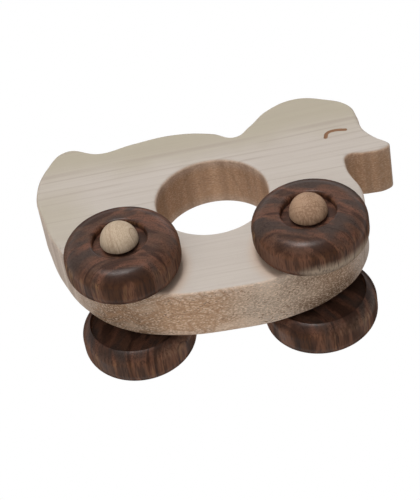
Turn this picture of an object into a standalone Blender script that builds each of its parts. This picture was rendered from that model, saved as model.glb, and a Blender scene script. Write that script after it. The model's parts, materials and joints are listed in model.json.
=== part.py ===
"""Wheeled duck toy: a board sawn to a duck's outline, with a finger hole and four turned wheels.

Each wheel spins on its own round-headed axle peg, and the pegs are glued into the board.
The toy stands on its wheels at z = 0. The beak points to +X and the duck's left side is +Y.
The middle of the length is at x = 0 and the middle of the board's thickness at y = 0.
"""

import math

import bmesh
import bpy
from mathutils import Vector

MM = 0.001

# Board, from tail to beak, from belly to crown and from side to side
DUCK_LENGTH = 129.6 * MM
DUCK_HEIGHT = 99.0 * MM
BOARD_THICKNESS = 20.4 * MM
EDGE_RADIUS = 1.3 * MM
EDGE_SEGMENTS = 3
EDGE_ANGLE = math.radians(50.0)
OUTLINE_STEPS = 5

# Drawing of the duck, (x from the middle, z from the belly), clockwise as its right side is seen;
# it is stretched to the length and height above
TAIL = [(-60.8, 79.6), (-53.6, 88.0), (-40.8, 83.9)]
BACK = [(-28.8, 86.5), (-12.3, 88.4), (1.7, 85.5), (9.7, 81.6)]
HEAD = [(15.1, 86.2), (22.6, 94.4), (33.7, 99.0), (44.7, 96.1), (53.2, 90.2), (55.4, 82.6)]
BEAK = [(56.2, 76.0), (58.5, 71.4), (61.2, 68.1), (63.5, 66.0), (64.8, 63.7), (62.5, 61.6), (55.2, 60.8)]
BREAST = [(49.1, 60.8), (47.9, 55.7), (51.9, 38.2), (47.8, 20.9)]
BELLY = [(37.6, 9.7), (20.2, 2.1), (0.2, 0.0), (-19.8, 1.4), (-38.0, 8.3), (-50.2, 20.3)]
RUMP = [(-58.2, 35.7), (-62.6, 50.2), (-64.8, 65.0)]

# Closed eye, a burnt groove on both sides, in the same drawing
EYE_LINE = [(42.5, 72.4), (43.4, 74.8), (46.3, 75.8), (50.1, 75.3)]
EYE_TOOL_RADIUS = 0.7 * MM
EYE_DEPTH = 0.35 * MM

# Finger hole through the board
HOLE_DIAMETER = 40.4 * MM
HOLE_X = -1.2 * MM
HOLE_ABOVE_BELLY = 49.3 * MM
HOLE_STEPS = 12

# Axles
WHEELBASE = 64.5 * MM
AXLES_MIDDLE_X = -1.0 * MM
AXLE_ABOVE_BELLY = 15.2 * MM
SHANK_DIAMETER = 7.0 * MM
GLUE_GAP = 0.3 * MM
RUNNING_GAP = 0.5 * MM
SHANK_END = 0.5 * MM
AXLE_SIDES = 24

# Wheels, turned, dished on the side that faces the board
WHEEL_DIAMETER = 40.0 * MM
WHEEL_CLEARANCE = 0.55 * MM
WHEEL_WIDTH = 15.35 * MM
SHOULDER_RADIUS = 5.95 * MM
DISH_MARGIN = 3.3 * MM
DISH_SLOPE = 0.35 * MM
DISH_DEPTH = 2.2 * MM
RECESS_MARGIN = 2.9 * MM
RECESS_DEPTH = 2.8 * MM
RECESS_LIP_RADIUS = 1.2 * MM
CROWN_LEAST = 0.5 * MM
TREAD_LEAST = 1.0 * MM
WHEEL_SIDES = 48
SHOULDER_STEPS = 5
LIP_STEPS = 3

# Peg heads, a dome on a rounded rim
HEAD_DIAMETER = 13.2 * MM
HEAD_LIFT = 0.9 * MM
HEAD_RIM_RADIUS = 0.8 * MM
HEAD_DOME_HEIGHT = 6.9 * MM
DOME_STEPS = 6
RIM_STEPS = 2

# Finishes
MAPLE = (0.66, 0.56, 0.45)
WALNUT = (0.085, 0.047, 0.036)
BEECH = (0.48, 0.35, 0.23)
OILED_ROUGHNESS = 0.5

# Screw and weld distance
MERGE = 0.01 * MM

# Flat cheek of the board, kept clear of the wheels
CHEEK_CLEARANCE = 6.0 * MM

# Worked out from the sizes above
OUTLINE = TAIL + BACK + HEAD + BEAK + BREAST + BELLY + RUMP
STRETCH_X = DUCK_LENGTH / (max(x for x, z in OUTLINE) - min(x for x, z in OUTLINE))
STRETCH_Z = DUCK_HEIGHT / (max(z for x, z in OUTLINE) - min(z for x, z in OUTLINE))
AXLE_HEIGHT = WHEEL_DIAMETER / 2
BELLY_HEIGHT = AXLE_HEIGHT - AXLE_ABOVE_BELLY
AXLES = {"front": AXLES_MIDDLE_X + WHEELBASE / 2, "rear": AXLES_MIDDLE_X - WHEELBASE / 2}
SIDES = {"right": -1.0, "left": 1.0}


def clear_scene():
    """Remove every object that the scene starts with."""
    for obj in list(bpy.data.objects):
        bpy.data.objects.remove(obj, do_unlink=True)


def new_collection(name):
    """Add an empty collection to the scene."""
    collection = bpy.data.collections.new(name)
    bpy.context.scene.collection.children.link(collection)
    return collection


def new_material(name, colour):
    """Give a bare oiled wood colour."""
    material = bpy.data.materials.new(name)
    material.use_nodes = True
    shader = material.node_tree.nodes["Principled BSDF"]
    shader.inputs["Base Color"].default_value = (*colour, 1.0)
    shader.inputs["Roughness"].default_value = OILED_ROUGHNESS
    shader.inputs["Metallic"].default_value = 0.0
    return material


def new_object(name, data, collection):
    """Add an object for some data to a collection."""
    obj = bpy.data.objects.new(name, data)
    collection.objects.link(obj)
    return obj


def full_size(drawing):
    """Stretch points of the drawing to the board's length and height."""
    return [(x * STRETCH_X, z * STRETCH_Z) for x, z in drawing]


def add_spline(curve, knots, closed, steps):
    """Add a smooth curve through knots, with that many steps from knot to knot."""
    spline = curve.splines.new("BEZIER")
    spline.bezier_points.add(len(knots) - 1)
    for point, knot in zip(spline.bezier_points, knots):
        point.co = knot
        point.handle_left_type = "AUTO"
        point.handle_right_type = "AUTO"
    spline.use_cyclic_u = closed
    spline.resolution_u = steps


def evaluated_mesh(obj):
    """Read an object as it looks with its modifiers, as a new mesh."""
    bpy.context.view_layer.update()
    depsgraph = bpy.context.evaluated_depsgraph_get()
    return bpy.data.meshes.new_from_object(obj.evaluated_get(depsgraph))


def curve_to_mesh(obj, collection):
    """Replace a curve object by a mesh object with welded caps and flat faces made whole."""
    mesh = evaluated_mesh(obj)
    work = bmesh.new()
    work.from_mesh(mesh)
    bmesh.ops.remove_doubles(work, verts=work.verts, dist=MERGE)
    bmesh.ops.dissolve_limit(work, angle_limit=math.radians(0.1), verts=[], edges=work.edges)
    bmesh.ops.recalc_face_normals(work, faces=work.faces)
    work.to_mesh(mesh)
    work.free()
    name = obj.name
    place = obj.matrix_world.copy()
    bpy.data.objects.remove(obj, do_unlink=True)
    solid = new_object(name, mesh, collection)
    solid.matrix_world = place
    return solid


def make_cutter(obj):
    """Show an object as a wire that is only used to cut."""
    obj.hide_render = True
    obj.display_type = "WIRE"
    return obj


def cut(obj, cutter):
    """Take a cutter's shape out of an object."""
    boolean = obj.modifiers.new(cutter.name, "BOOLEAN")
    boolean.operation = "DIFFERENCE"
    boolean.solver = "EXACT"
    boolean.object = cutter


def shade_round(mesh):
    """Shade smooth, but keep corners crisp."""
    mesh.shade_smooth()
    mesh.set_sharp_from_angle(angle=math.radians(35.0))


def arc(centre, radius, start, end, steps):
    """List the points of an arc in a flat drawing, with its angles in degrees."""
    points = []
    for step in range(steps + 1):
        angle = math.radians(start + (end - start) * step / steps)
        points.append((centre[0] + radius * math.cos(angle), centre[1] + radius * math.sin(angle)))
    return points


def turned(name, profile, closed, sides, collection):
    """Turn a profile about the Z axis; it runs from the top down the outer side."""
    mesh = bpy.data.meshes.new(name)
    edges = [(index, index + 1) for index in range(len(profile) - 1)]
    if closed:
        edges.append((len(profile) - 1, 0))
    mesh.from_pydata([(distance, 0.0, height) for distance, height in profile], edges, [])
    obj = new_object(name, mesh, collection)
    screw = obj.modifiers.new("turned", "SCREW")
    screw.axis = "Z"
    screw.angle = math.tau
    screw.steps = sides
    screw.render_steps = sides
    screw.use_merge_vertices = True
    screw.merge_threshold = MERGE
    screw.use_smooth_shade = True
    solid_mesh = evaluated_mesh(obj)
    obj.modifiers.clear()
    obj.data = solid_mesh
    shade_round(solid_mesh)
    return obj


def axle_cutter(name, axle_x, collection):
    """Make the drill for one axle hole, right through the board."""
    mesh = bpy.data.meshes.new(name)
    work = bmesh.new()
    radius = SHANK_DIAMETER / 2 + GLUE_GAP
    bmesh.ops.create_cone(
        work,
        cap_ends=True,
        segments=AXLE_SIDES,
        radius1=radius,
        radius2=radius,
        depth=2 * BOARD_THICKNESS,
    )
    work.to_mesh(mesh)
    work.free()
    drill = new_object(name, mesh, collection)
    drill.location = (axle_x, 0.0, AXLE_HEIGHT)
    drill.rotation_euler = (math.pi / 2, 0.0, 0.0)
    return make_cutter(drill)


def eye_cutter(name, side, collection):
    """Make the round-ended tool path that burns one eye into a side of the board."""
    curve = bpy.data.curves.new(name, "CURVE")
    curve.dimensions = "3D"
    curve.bevel_depth = EYE_TOOL_RADIUS
    curve.bevel_resolution = 3
    curve.use_fill_caps = True
    path_y = side * (BOARD_THICKNESS / 2 + EYE_TOOL_RADIUS - EYE_DEPTH)
    path = [(x, path_y, z + BELLY_HEIGHT) for x, z in full_size(EYE_LINE)]
    add_spline(curve, path, False, OUTLINE_STEPS)
    return make_cutter(curve_to_mesh(new_object(name, curve, collection), collection))


def duck_board(material, parts, cutters):
    """Saw the duck and its finger hole from a board, round its edges, drill the axles and burn the eyes."""
    curve = bpy.data.curves.new("duck_board", "CURVE")
    curve.dimensions = "2D"
    curve.fill_mode = "BOTH"
    curve.extrude = BOARD_THICKNESS / 2
    add_spline(curve, [(x, z, 0.0) for x, z in full_size(OUTLINE)], True, OUTLINE_STEPS)
    hole = arc((HOLE_X, HOLE_ABOVE_BELLY), HOLE_DIAMETER / 2, 0.0, 270.0, 3)
    add_spline(curve, [(x, z, 0.0) for x, z in hole], True, HOLE_STEPS)
    blank = new_object("duck_board", curve, parts)
    blank.location = (0.0, 0.0, BELLY_HEIGHT)
    blank.rotation_euler = (math.pi / 2, 0.0, 0.0)
    bpy.context.view_layer.update()
    board = curve_to_mesh(blank, parts)
    board.data.transform(board.matrix_world)
    board.matrix_world.identity()
    rounding = board.modifiers.new("rounded edges", "BEVEL")
    rounding.width = EDGE_RADIUS
    rounding.segments = EDGE_SEGMENTS
    rounding.limit_method = "ANGLE"
    rounding.angle_limit = EDGE_ANGLE
    rounding.use_clamp_overlap = False
    rounding.loop_slide = False
    for axle, axle_x in AXLES.items():
        cut(board, axle_cutter(f"axle_drill_{axle}", axle_x, cutters))
    for side, sign in SIDES.items():
        cut(board, eye_cutter(f"eye_tool_{side}", sign, cutters))
    split_above_wheels(board)
    board.data.materials.clear()
    board.data.materials.append(material)
    shade_round(board.data)
    return board


def split_above_wheels(board):
    """Fix the board's cuts in its mesh, and divide its flat sides above the wheels."""
    mesh = evaluated_mesh(board)
    work = bmesh.new()
    work.from_mesh(mesh)
    bmesh.ops.bisect_plane(
        work,
        geom=work.verts[:] + work.edges[:] + work.faces[:],
        plane_co=Vector((0.0, 0.0, WHEEL_DIAMETER + CHEEK_CLEARANCE)),
        plane_no=Vector((0.0, 0.0, 1.0)),
    )
    work.to_mesh(mesh)
    work.free()
    board.modifiers.clear()
    board.data = mesh


def wheel_profile():
    """Give a wheel's section, (distance from axle, distance from the board's middle), outer face first."""
    inner = BOARD_THICKNESS / 2 + WHEEL_CLEARANCE
    outer = inner + WHEEL_WIDTH
    bore = SHANK_DIAMETER / 2 + RUNNING_GAP
    tread = WHEEL_DIAMETER / 2
    recess = HEAD_DIAMETER / 2 + RECESS_MARGIN
    lip = recess + RECESS_LIP_RADIUS
    rounding = min(SHOULDER_RADIUS, tread - lip - CROWN_LEAST, (WHEEL_WIDTH - TREAD_LEAST) / 2)
    shoulder = tread - rounding
    dish = max(tread - DISH_MARGIN, shoulder)
    dish_angle = -math.degrees(math.acos((dish - shoulder) / rounding))
    profile = [(bore, outer - RECESS_DEPTH), (recess, outer - RECESS_DEPTH)]
    profile += arc((lip, outer - RECESS_LIP_RADIUS), RECESS_LIP_RADIUS, 180.0, 90.0, LIP_STEPS)
    profile += arc((shoulder, outer - rounding), rounding, 90.0, 0.0, SHOULDER_STEPS)
    profile += arc((shoulder, inner + rounding), rounding, 0.0, dish_angle, SHOULDER_STEPS)
    profile += [(dish - DISH_SLOPE, inner + DISH_DEPTH), (bore, inner + DISH_DEPTH)]
    return profile


def peg_profile():
    """Give a peg's section, (distance from axle, distance from the board's middle), dome first."""
    recess_floor = BOARD_THICKNESS / 2 + WHEEL_CLEARANCE + WHEEL_WIDTH - RECESS_DEPTH
    underside = recess_floor + HEAD_LIFT
    rim = underside + HEAD_RIM_RADIUS
    radius = HEAD_DIAMETER / 2
    profile = []
    for step in range(DOME_STEPS):
        angle = math.radians(90.0 - 90.0 * step / DOME_STEPS)
        profile.append((radius * math.cos(angle), rim + HEAD_DOME_HEIGHT * math.sin(angle)))
    profile += arc((radius - HEAD_RIM_RADIUS, rim), HEAD_RIM_RADIUS, 0.0, -90.0, RIM_STEPS)
    profile += [(SHANK_DIAMETER / 2, underside), (SHANK_DIAMETER / 2, SHANK_END), (0.0, SHANK_END)]
    profile[0] = (0.0, rim + HEAD_DOME_HEIGHT)
    return profile


def place_on_axle(obj, axle_x, side):
    """Stand a turned piece on its axle, its outer end pointing away from the board."""
    obj.location = (axle_x, 0.0, AXLE_HEIGHT)
    obj.rotation_euler = (-side * math.pi / 2, 0.0, 0.0)


def main():
    """Build the toy."""
    clear_scene()
    parts = new_collection("wheeled_duck_toy")
    cutters = new_collection("wheeled_duck_toy_cutters")
    maple = new_material("maple", MAPLE)
    walnut = new_material("walnut", WALNUT)
    beech = new_material("beech", BEECH)
    duck_board(maple, parts, cutters)
    for axle, axle_x in AXLES.items():
        for side, sign in SIDES.items():
            wheel = turned(f"wheel_{axle}_{side}", wheel_profile(), True, WHEEL_SIDES, parts)
            wheel.data.materials.append(walnut)
            place_on_axle(wheel, axle_x, sign)
            peg = turned(f"axle_peg_{axle}_{side}", peg_profile(), False, AXLE_SIDES, parts)
            peg.data.materials.append(beech)
            place_on_axle(peg, axle_x, sign)


main()
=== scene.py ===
"""Wooden duck on wheels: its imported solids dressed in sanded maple, turned walnut and turned beech.

Every visible piece is a fine surface worked out with numpy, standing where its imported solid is.
"""

import json
import math
from typing import NamedTuple

import bpy
import numpy as np
from mathutils.geometry import delaunay_2d_cdt
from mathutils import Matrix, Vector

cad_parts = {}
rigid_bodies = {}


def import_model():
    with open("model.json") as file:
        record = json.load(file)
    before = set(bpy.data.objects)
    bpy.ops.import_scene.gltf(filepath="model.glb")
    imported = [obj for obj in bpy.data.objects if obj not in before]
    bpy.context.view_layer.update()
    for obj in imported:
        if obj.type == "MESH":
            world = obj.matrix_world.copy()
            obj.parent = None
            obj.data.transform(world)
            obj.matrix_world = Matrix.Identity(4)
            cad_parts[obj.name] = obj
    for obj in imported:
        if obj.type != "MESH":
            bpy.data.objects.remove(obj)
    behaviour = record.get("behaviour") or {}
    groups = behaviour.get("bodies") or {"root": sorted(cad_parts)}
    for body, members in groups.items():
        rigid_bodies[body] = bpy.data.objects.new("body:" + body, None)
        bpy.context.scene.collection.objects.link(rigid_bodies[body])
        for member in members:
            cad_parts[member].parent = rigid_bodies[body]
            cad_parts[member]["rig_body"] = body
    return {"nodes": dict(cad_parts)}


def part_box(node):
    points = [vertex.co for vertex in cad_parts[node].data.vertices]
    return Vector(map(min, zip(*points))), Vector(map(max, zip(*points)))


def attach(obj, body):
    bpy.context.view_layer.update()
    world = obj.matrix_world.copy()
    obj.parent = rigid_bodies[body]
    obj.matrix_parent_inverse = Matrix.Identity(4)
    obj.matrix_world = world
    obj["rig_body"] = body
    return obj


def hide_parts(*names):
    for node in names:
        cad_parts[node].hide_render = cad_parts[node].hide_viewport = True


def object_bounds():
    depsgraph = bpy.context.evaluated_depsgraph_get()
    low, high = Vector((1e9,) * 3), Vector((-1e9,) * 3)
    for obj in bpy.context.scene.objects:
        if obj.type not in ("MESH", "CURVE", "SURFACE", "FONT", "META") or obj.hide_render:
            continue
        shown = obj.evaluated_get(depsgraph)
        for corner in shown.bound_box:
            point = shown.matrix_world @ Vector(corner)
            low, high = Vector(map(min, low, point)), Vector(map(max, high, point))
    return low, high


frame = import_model()
cad_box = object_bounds()

bl_info = {
    "name": "Wooden duck on wheels",
    "version": (1, 0, 0),
    "blender": (4, 5, 0),
    "location": "3D View > Sidebar > Duck",
    "description": "Makes a sawn duck, its turned wheels and axle pegs, and a plain stage",
    "category": "Add Mesh",
}

MM = 0.001
BODY_KEY = "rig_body"
AXLES = ("front", "rear")
SIDES = {"right": -1.0, "left": 1.0}
CORNERS = {f"{axle}_{side}": sign for axle in AXLES for side, sign in SIDES.items()}
DRAWN = [0, 2]  # the drawing's axes, x and z

# Drawing of the duck, (x, z) in millimetres, clockwise as its right side is seen
TAIL = [(-60.8, 79.6), (-53.6, 88.0), (-40.8, 83.9)]
BACK = [(-28.8, 86.5), (-12.3, 88.4), (1.7, 85.5), (9.7, 81.6)]
HEAD = [(15.1, 86.2), (22.6, 94.4), (33.7, 99.0), (44.7, 96.1), (53.2, 90.2), (55.4, 82.6)]
BEAK = [(56.2, 76.0), (58.5, 71.4), (61.2, 68.1), (63.5, 66.0), (64.8, 63.7), (62.5, 61.6), (55.2, 60.8)]
BREAST = [(49.1, 60.8), (47.9, 55.7), (51.9, 38.2), (47.8, 20.9)]
BELLY = [(37.6, 9.7), (20.2, 2.1), (0.2, 0.0), (-19.8, 1.4), (-38.0, 8.3), (-50.2, 20.3)]
RUMP = [(-58.2, 35.7), (-62.6, 50.2), (-64.8, 65.0)]
OUTLINE = TAIL + BACK + HEAD + BEAK + BREAST + BELLY + RUMP
EYE_LINE = [(42.5, 72.4), (43.4, 74.8), (46.3, 75.8), (50.1, 75.3)]
# A smooth curve's handles are its spans divided by this and by the length of its tangents
HANDLE_DIVISOR = 2.5614

# Fineness of the surfaces
OUTLINE_STEPS = 20
EYE_STEPS = 14
EYE_CAP_STEPS = 12
EYE_RINGS = 6
HALO_RINGS = 3
EDGE_STEPS = 9
WALL_STEPS = 6
HOLE_SIDES = 180
BORE_SIDES = 64
WHEEL_SIDES = 160
PEG_SIDES = 96
ARC_STEPS = 14
LATTICE = 2.6 * MM
LATTICE_ROW = LATTICE * math.sqrt(0.75)
LATTICE_MARGIN = 1.3 * MM
WELD = 0.001 * MM
TRIANGLE_EPSILON = 1e-9


class Blank(NamedTuple):
    """How a turned piece lies in the wood blank that it was cut from."""

    heart_angle: float  # way to the heart of the tree, in degrees
    heart_distance: float  # in millimetres
    start: float  # place along the blank
    tone: float = 0.0  # from tan to pale
    sap_angle: float = 0.0  # way to the pale sapwood and its painted bounce light, in degrees
    sap: float = 0.0  # how much pale sapwood and painted bounce light there is


WHEEL_BLANKS = {
    "front_right": Blank(252.0, 59.0, 0.06, sap_angle=-62.0, sap=1.0),
    "rear_right": Blank(273.0, 32.0, 0.74, sap_angle=-20.0, sap=0.19),
    "front_left": Blank(227.0, 42.0, 1.89, sap_angle=-45.0, sap=0.30),
    "rear_left": Blank(321.0, 38.0, 2.00, sap_angle=-35.0, sap=0.30),
}
PEG_BLANKS = {
    "front_right": Blank(80.0, 4.0, 0.12, tone=0.05),
    "rear_right": Blank(-15.0, 6.2, 0.31, tone=0.95),
    "front_left": Blank(200.0, 6.0, 0.57, tone=0.7),
    "rear_left": Blank(310.0, 5.0, 0.83, tone=0.35),
}
# Where the pale sapwood and its painted bounce light start and are full: how straight their way is met,
# towards the board, and towards the rim
SAP_AND_BOUNCE_SPREAD = (0.50, 0.95)
SAP_AND_BOUNCE_DEPTH = (18.6 * MM, 15.6 * MM)
SAP_AND_BOUNCE_RIM = (17.0 * MM, 18.5 * MM)
# The nook is the dished face's outer part, where painted shade darkens the corner between these
# distances from the axle
NOOK_RADIUS = (14.0 * MM, 15.8 * MM)
NOOK_LIMIT = 16.5 * MM
NOOK_FACING = -0.5


def box_of(node):
    """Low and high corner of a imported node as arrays."""
    low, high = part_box(node)
    return np.array(low), np.array(high)


def axle_of(node):
    """Middle of a turned node in the drawing, (x, z)."""
    low, high = box_of(node)
    return ((low + high) / 2.0)[DRAWN]


def reach_of(node):
    """Least and greatest distance of a turned node from the board's middle, and its radius."""
    low, high = box_of(node)
    near, far = np.sort(np.abs([low[1], high[1]]))
    return near, far, (high[2] - low[2]) / 2.0


def coordinate(label, words, default, **limits):
    """A property that holds a coordinate in metres; its default is given in millimetres."""
    shown = {"precision": 4, "subtype": "DISTANCE", "unit": "LENGTH", **limits}
    return bpy.props.FloatProperty(name=label, description=words, default=default * MM, **shown)


def length(label, words, default):
    """The same for a size, which is never below 0."""
    return coordinate(label, words, default, min=0.0)


def colour(label, words, default):
    """A property that holds a linear colour."""
    limits = {"min": 0.0, "max": 1.0, "size": 3}
    return bpy.props.FloatVectorProperty(
        name=label, description=words, default=default, subtype="COLOR", **limits
    )


def amount(label, words, default, unit="NONE"):
    """A property that holds a number of some unit."""
    return bpy.props.FloatProperty(name=label, description=words, default=default, min=0.0, unit=unit)


class DuckBoardSettings(bpy.types.PropertyGroup):
    """Sizes and colours of the sawn board."""

    edge_radius: length("Edge radius", "Rounding of the sawn edges", 1.3)
    hole_diameter: length("Hole diameter", "Finger hole through the board", 40.4)
    hole_x: coordinate("Hole x", "Middle of the finger hole along the duck", -1.2)
    hole_above_belly: length("Hole height", "Middle of the finger hole above the belly", 49.3)
    bore_diameter: length("Axle bore", "Hole that takes a peg's shank", 7.6)
    eye_width: length("Eye width", "Width of the burnt line of the closed eye", 1.2)
    eye_depth: length("Eye depth", "Depth of the burnt line", 0.35)
    eye_halo: length("Eye halo", "Width of the scorched rim of the eye", 0.30)
    face: colour("Face", "Pale wood of the flat sides", (0.590, 0.528, 0.472))
    crown: colour("Crown", "Creamier wood along the back and the head", (0.495, 0.440, 0.345))
    lines: colour("Growth lines", "Darker lines along the grain", (0.43, 0.355, 0.30))
    # Also the tint of the painted warm shade on the flat sides beside the wheels
    edge: colour("Edge", "Warm wood of the sawn edges", (0.570, 0.356, 0.220))
    edge_grey: colour("Grey edge", "Greyer patch of the belly", (0.505, 0.392, 0.302))
    # Also laid as painted shade in the hole, on the belly by the wheels and under the beak
    edge_end: colour("End grain", "Darker wood where the grain ends", (0.435, 0.254, 0.147))
    edge_pale: colour("Pale end grain", "Paler wood of the rump and the breast", (0.68, 0.57, 0.49))
    # Also laid as painted shade on the belly by the wheels
    edge_dark: colour("Edge flecks", "Dark flecks in the sawn edges", (0.225, 0.137, 0.083))
    edge_light: colour("Light edge flecks", "Light flecks in the sawn edges", (0.86, 0.66, 0.50))
    burn: colour("Burn", "Scorched wood of the eye", (0.285, 0.155, 0.088))


class WheelSettings(bpy.types.PropertyGroup):
    """Sizes and colours of the turned wheels."""

    shoulder_radius: length("Shoulder radius", "Rounding between the faces and the tread", 5.95)
    dish_margin: length("Dish margin", "Width of the rim round the dished inner face", 3.3)
    dish_slope: length("Dish slope", "Width of the dish's sloping side", 0.35)
    dish_depth: length("Dish depth", "Depth of the dished inner face", 2.2)
    recess_radius: length("Recess radius", "Recess round the peg's head", 9.5)
    recess_depth: length("Recess depth", "Depth of the recess", 2.8)
    lip_radius: length("Lip radius", "Rounding of the recess's lip", 1.2)
    bore_diameter: length("Bore", "Hole that runs on the peg's shank", 8.0)
    brown: colour("Brown", "Main brown of the walnut", (0.140, 0.071, 0.045))
    red: colour("Red brown", "Reddish streaks", (0.228, 0.099, 0.062))
    grey: colour("Grey brown", "Greyish violet streaks", (0.084, 0.055, 0.044))
    ochre: colour("Ochre", "Light streaks", (0.310, 0.182, 0.086))
    warm: colour("Warm brown", "Warmer brown of the tread", (0.155, 0.056, 0.018))
    # Pale sapwood at the rim, partly painted light bounced onto the tread near the board
    sap: colour("Sapwood and bounce light", "Pale sapwood at the rim", (0.400, 0.300, 0.215))
    # Also laid as painted shade in the corner of the wheels' dished faces
    dark: colour("Dark", "Late wood, pores and end grain", (0.022, 0.011, 0.008))


class PegSettings(bpy.types.PropertyGroup):
    """Sizes and colours of the axle pegs."""

    head_lift: length("Head lift", "Gap between the head and the recess's floor", 0.9)
    rim_radius: length("Rim radius", "Rounding under the head", 0.8)
    shank_diameter: length("Shank", "Diameter of the peg's shank", 7.0)
    pale: colour("Pale", "Lightest wood of the pegs", (0.620, 0.498, 0.363))
    tan: colour("Tan", "Darkest wood of the pegs", (0.440, 0.280, 0.181))
    lines: colour("Growth lines", "Lines in the end grain", (0.26, 0.155, 0.095))


class StageSettings(bpy.types.PropertyGroup):
    """Floor, lamps and camera."""

    floor: colour("Floor", "Plain pale floor", (0.94, 0.94, 0.94))
    floor_radius: length("Floor radius", "The floor fades out towards this radius", 1400.0)
    near_sky: amount("Near sky", "Light from all round on the duck's right", 0.25)
    far_sky: amount("Far sky", "Light from all round on the duck's left", 0.68)
    key: amount("Key lamp", "Broad soft lamp before and below the duck's right side", 2.35, "POWER")
    front: amount("Front", "Soft lamp on the duck's right side", 4.5, "POWER")
    spark: amount("Small lamp", "Lamp on the duck's right side that only shines on gloss", 10.0, "POWER")
    top: amount("Top lamp", "Soft lamp above", 2.0, "POWER")
    fill: amount("Fill lamp", "Soft lamp on the duck's left side", 2.0, "POWER")
    lens: amount("Lens", "Focal length of the camera", 132.57, "CAMERA")


class Skin:
    """Surfaces that are welded into one closed mesh, with a value of each mark at every point."""

    def __init__(self, *marks):
        self.points = []
        self.normals = []
        self.quads = []
        self.triangles = []
        self.marks = {mark: [] for mark in marks}

    def add_points(self, points, normals, marks):
        """Take points in, and give the number of the first."""
        first = sum(map(len, self.points))
        self.points.append(points.reshape(-1, 3))
        self.normals.append(normals.reshape(-1, 3))
        for mark, values in self.marks.items():
            values.append(np.broadcast_to(marks.get(mark, 0.0), points.shape[:-1]).reshape(-1))
        return first

    def grid(self, points, normals, **marks):
        """Add a surface given on a grid of two parameters; its faces turn to the side of its normals."""
        rows, columns = points.shape[:2]
        first = self.add_points(points, normals, marks)
        index = first + np.arange(rows * columns).reshape(rows, columns)
        quads = np.stack([index[:-1, :-1], index[1:, :-1], index[1:, 1:], index[:-1, 1:]], axis=-1)
        facing = np.cross(points[1:, 1:] - points[:-1, :-1], points[:-1, 1:] - points[1:, :-1])
        if (facing * normals[:-1, :-1]).sum() < 0.0:
            quads = quads[..., ::-1]
        self.quads.append(quads.reshape(-1, 4))

    def flat(self, points, triangles, normal, **marks):
        """Add a flat surface of triangles; its faces turn to the side of its normal."""
        first = self.add_points(points, np.broadcast_to(normal, points.shape), marks)
        a, b, c = (points[triangles[:, corner]] for corner in range(3))
        if (np.cross(b - a, c - a) * normal).sum() < 0.0:
            triangles = triangles[:, ::-1]
        self.triangles.append(first + triangles)

    def mesh(self, name):
        """Weld equal points, turn squeezed quads into triangles, and keep each surface's own normals."""
        points = np.concatenate(self.points)
        normals = np.concatenate(self.normals)
        cells = np.round(points / WELD).astype(np.int64)
        _, kept, welded = np.unique(cells, axis=0, return_index=True, return_inverse=True)
        welded = welded.ravel()

        def whole(faces):
            """Which faces still have all their corners apart."""
            return (np.diff(np.sort(welded[faces], axis=1), axis=1) != 0).all(axis=1)

        quads = np.concatenate(self.quads)
        split = quads[~whole(quads)]
        quads = quads[whole(quads)]
        triangles = np.concatenate([*self.triangles, split[:, [0, 1, 2]], split[:, [0, 2, 3]]])
        triangles = triangles[whole(triangles)]
        faces = welded[quads].tolist() + welded[triangles].tolist()
        mesh = bpy.data.meshes.new(name)
        mesh.from_pydata(points[kept].tolist(), [], faces)
        mesh.polygons.foreach_set("use_smooth", np.ones(len(faces), bool))
        for mark, values in self.marks.items():
            attribute = mesh.attributes.new(mark, "FLOAT", "POINT")
            attribute.data.foreach_set("value", np.concatenate(values)[kept].astype(np.float32))
        corners = np.concatenate([quads.ravel(), triangles.ravel()])
        mesh.normals_split_custom_set(normals[corners].tolist())
        mesh.update()
        return mesh


def put_in_scene(name, data):
    """Link an object into the scene, in place of an older one of that name."""
    old = bpy.data.objects.get(name)
    if old is not None:
        bpy.data.objects.remove(old, do_unlink=True)
    obj = bpy.data.objects.new(name, data)
    bpy.context.scene.collection.objects.link(obj)
    return obj


def add_piece(name, mesh, material, node):
    """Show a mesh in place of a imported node, on the node's body and with its finish."""
    mesh.materials.append(material)
    piece = put_in_scene(name, mesh)
    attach(piece, frame["nodes"][node][BODY_KEY])
    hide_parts(node)


def unit(vectors):
    """Vectors at a length of 1."""
    return vectors / np.linalg.norm(vectors, axis=-1, keepdims=True)


def heading(degrees):
    """Unit vector of a way in the drawing: the cosine and the sine of its angle."""
    angle = np.radians(degrees)
    return np.stack([np.cos(angle), np.sin(angle)], axis=-1)


def circle(sides):
    """Directions round a closed circle at even turns, with the first again at the end."""
    around = heading(np.linspace(0.0, 360.0, sides + 1))
    around[-1] = around[0]
    return around


def left_of(directions):
    """Directions in the drawing turned a quarter to the left."""
    return np.stack([-directions[..., 1], directions[..., 0]], axis=-1)


def upright(drawing, y):
    """Points of the drawing, (x, z), set at a distance y from the board's middle."""
    return np.stack([drawing[..., 0], np.broadcast_to(y, drawing.shape[:-1]), drawing[..., 1]], axis=-1)


def smooth_share(value, start, end):
    """Smooth step of whole arrays: 0 at start, 1 at end, and 3 t squared - 2 t cubed between them."""
    share = np.clip((value - start) / (end - start), 0.0, 1.0)
    return share * share * (3.0 - 2.0 * share)


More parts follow.
